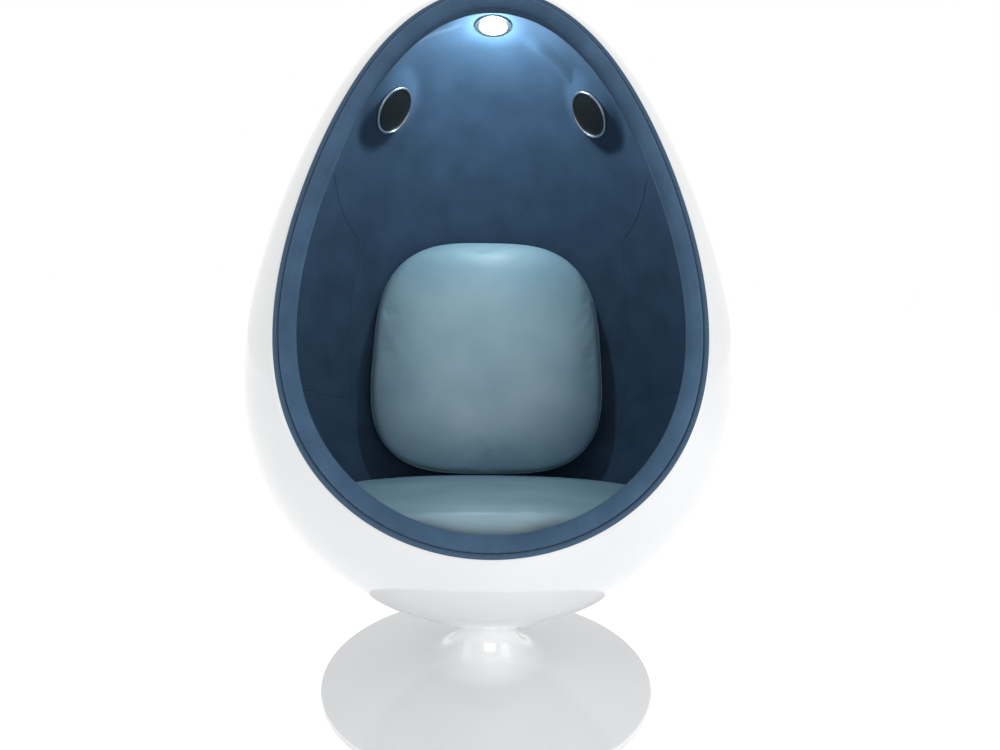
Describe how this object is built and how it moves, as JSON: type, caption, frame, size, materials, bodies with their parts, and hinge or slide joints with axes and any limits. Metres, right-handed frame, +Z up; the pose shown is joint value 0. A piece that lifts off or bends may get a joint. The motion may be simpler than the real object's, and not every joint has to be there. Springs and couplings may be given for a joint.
{
  "type": "pod chair",
  "caption": "Egg-shaped swivel pod chair: glossy white shell on a trumpet base, padded blue lining, seat and back cushions, two speakers and a ceiling lamp.",
  "frame": {"origin": "centre of the base's underside, on the floor and on the swivel axis", "axes": "+Z up along the swivel axis, -Y towards the opening (the way the sitter faces), +X to the viewer's right when looking into the opening"},
  "size_m": [0.86, 0.8305, 1.2664],
  "materials": {
    "shell_gloss": "glossy white gel coat over glass-reinforced plastic",
    "base_gloss": "glossy white gel coat",
    "floor_felt": "dense black felt",
    "ballast_steel": "blackened steel plate",
    "zinc_steel": "bright zinc plate",
    "bearing_steel": "ground steel",
    "cage_brass": "satin",
    "bush_plastic": "natural acetal",
    "plywood": "birch plywood, unfinished",
    "lining_foam": "open-cell foam",
    "lining_cloth": "navy blue felted cloth",
    "boss_cloth": "navy blue felted cloth",
    "rim_cloth": "dark navy edge trim",
    "rim_band": "dark navy satin strip",
    "cushion_leather": "smooth grey-blue leatherette",
    "speaker_silver": "satin anodised",
    "speaker_mesh": "black perforated steel",
    "speaker_frame": "black",
    "speaker_magnet": "ferrite with zinc plates",
    "speaker_paper": "coated paper cone",
    "speaker_rubber": "soft roll",
    "lamp_metal": "satin",
    "lamp_diffuser": "opal diffuser, lit",
    "circuit_board": "green solder mask",
    "led_phosphor": "lit phosphor",
    "amp_black": "black powder coat",
    "inlet_plastic": "moulded black",
    "lead_jacket": "flexible black jacket"
  },
  "bodies": {
    "base": {"floor_pad": "floor_felt", "ballast_plate": "ballast_steel", "base_shell": "base_gloss", "column_tube": "ballast_steel", "foot_screws": "zinc_steel", "bearing_head": "ballast_steel", "upper_bush": "bush_plastic", "lower_bush": "bush_plastic", "thrust_race_lower": "bearing_steel", "ball_cage": "cage_brass", "thrust_balls": "bearing_steel"},
    "pod": {"amp_board": "circuit_board", "amp_case": "amp_black", "amp_screws": "zinc_steel", "back_cushion": "cushion_leather", "clamp_block": "ballast_steel", "clamp_bolts": "zinc_steel", "clamp_washers": "zinc_steel", "inlet_lead": "lead_jacket", "inlet_nut": "inlet_plastic", "lamp_bezel": "lamp_metal", "lamp_housing": "lamp_metal", "lamp_lead": "lead_jacket", "lamp_lens": "lamp_diffuser", "led_board": "circuit_board", "led_chips": "led_phosphor", "lining_cover": "lining_cloth", "lining_foam": "lining_foam", "outer_shell": "shell_gloss", "platform_screws": "zinc_steel", "power_inlet": "inlet_plastic", "rim_band": "rim_band", "rim_roll": "rim_cloth", "seat_cushion": "cushion_leather", "seat_ledge": "plywood", "seat_platform": "plywood", "shell_spacer": "ballast_steel", "speaker_basket_left": "speaker_frame", "speaker_basket_right": "speaker_frame", "speaker_bezel_left": "speaker_silver", "speaker_bezel_right": "speaker_silver", "speaker_boss_left": "boss_cloth", "speaker_boss_right": "boss_cloth", "speaker_grille_left": "speaker_mesh", "speaker_grille_right": "speaker_mesh", "speaker_lead_left": "lead_jacket", "speaker_lead_right": "lead_jacket", "speaker_magnet_left": "speaker_magnet", "speaker_magnet_right": "speaker_magnet", "speaker_surround_left": "speaker_rubber", "speaker_surround_right": "speaker_rubber", "spindle": "bearing_steel", "spindle_nut": "zinc_steel", "spindle_washer": "zinc_steel", "thrust_race_upper": "bearing_steel"},
    "cone_left": {"speaker_cone_left": "speaker_paper"},
    "cone_right": {"speaker_cone_right": "speaker_paper"}
  },
  "joints": [
    {"name": "pod_swivel", "type": "hinge", "parent": "base", "child": "pod", "pos_m": [0, 0, 0.15], "axis": [0, 0, 1], "continuous": true},
    {"name": "cone_left_slide", "type": "slide", "parent": "pod", "child": "cone_left", "axis": [0.7408, -0.367, -0.5626], "range_m": [-0.002, 0.002], "stiffness_N_per_m": 900},
    {"name": "cone_right_slide", "type": "slide", "parent": "pod", "child": "cone_right", "axis": [-0.7408, -0.367, -0.5626], "range_m": [-0.002, 0.002], "stiffness_N_per_m": 900}
  ]
}
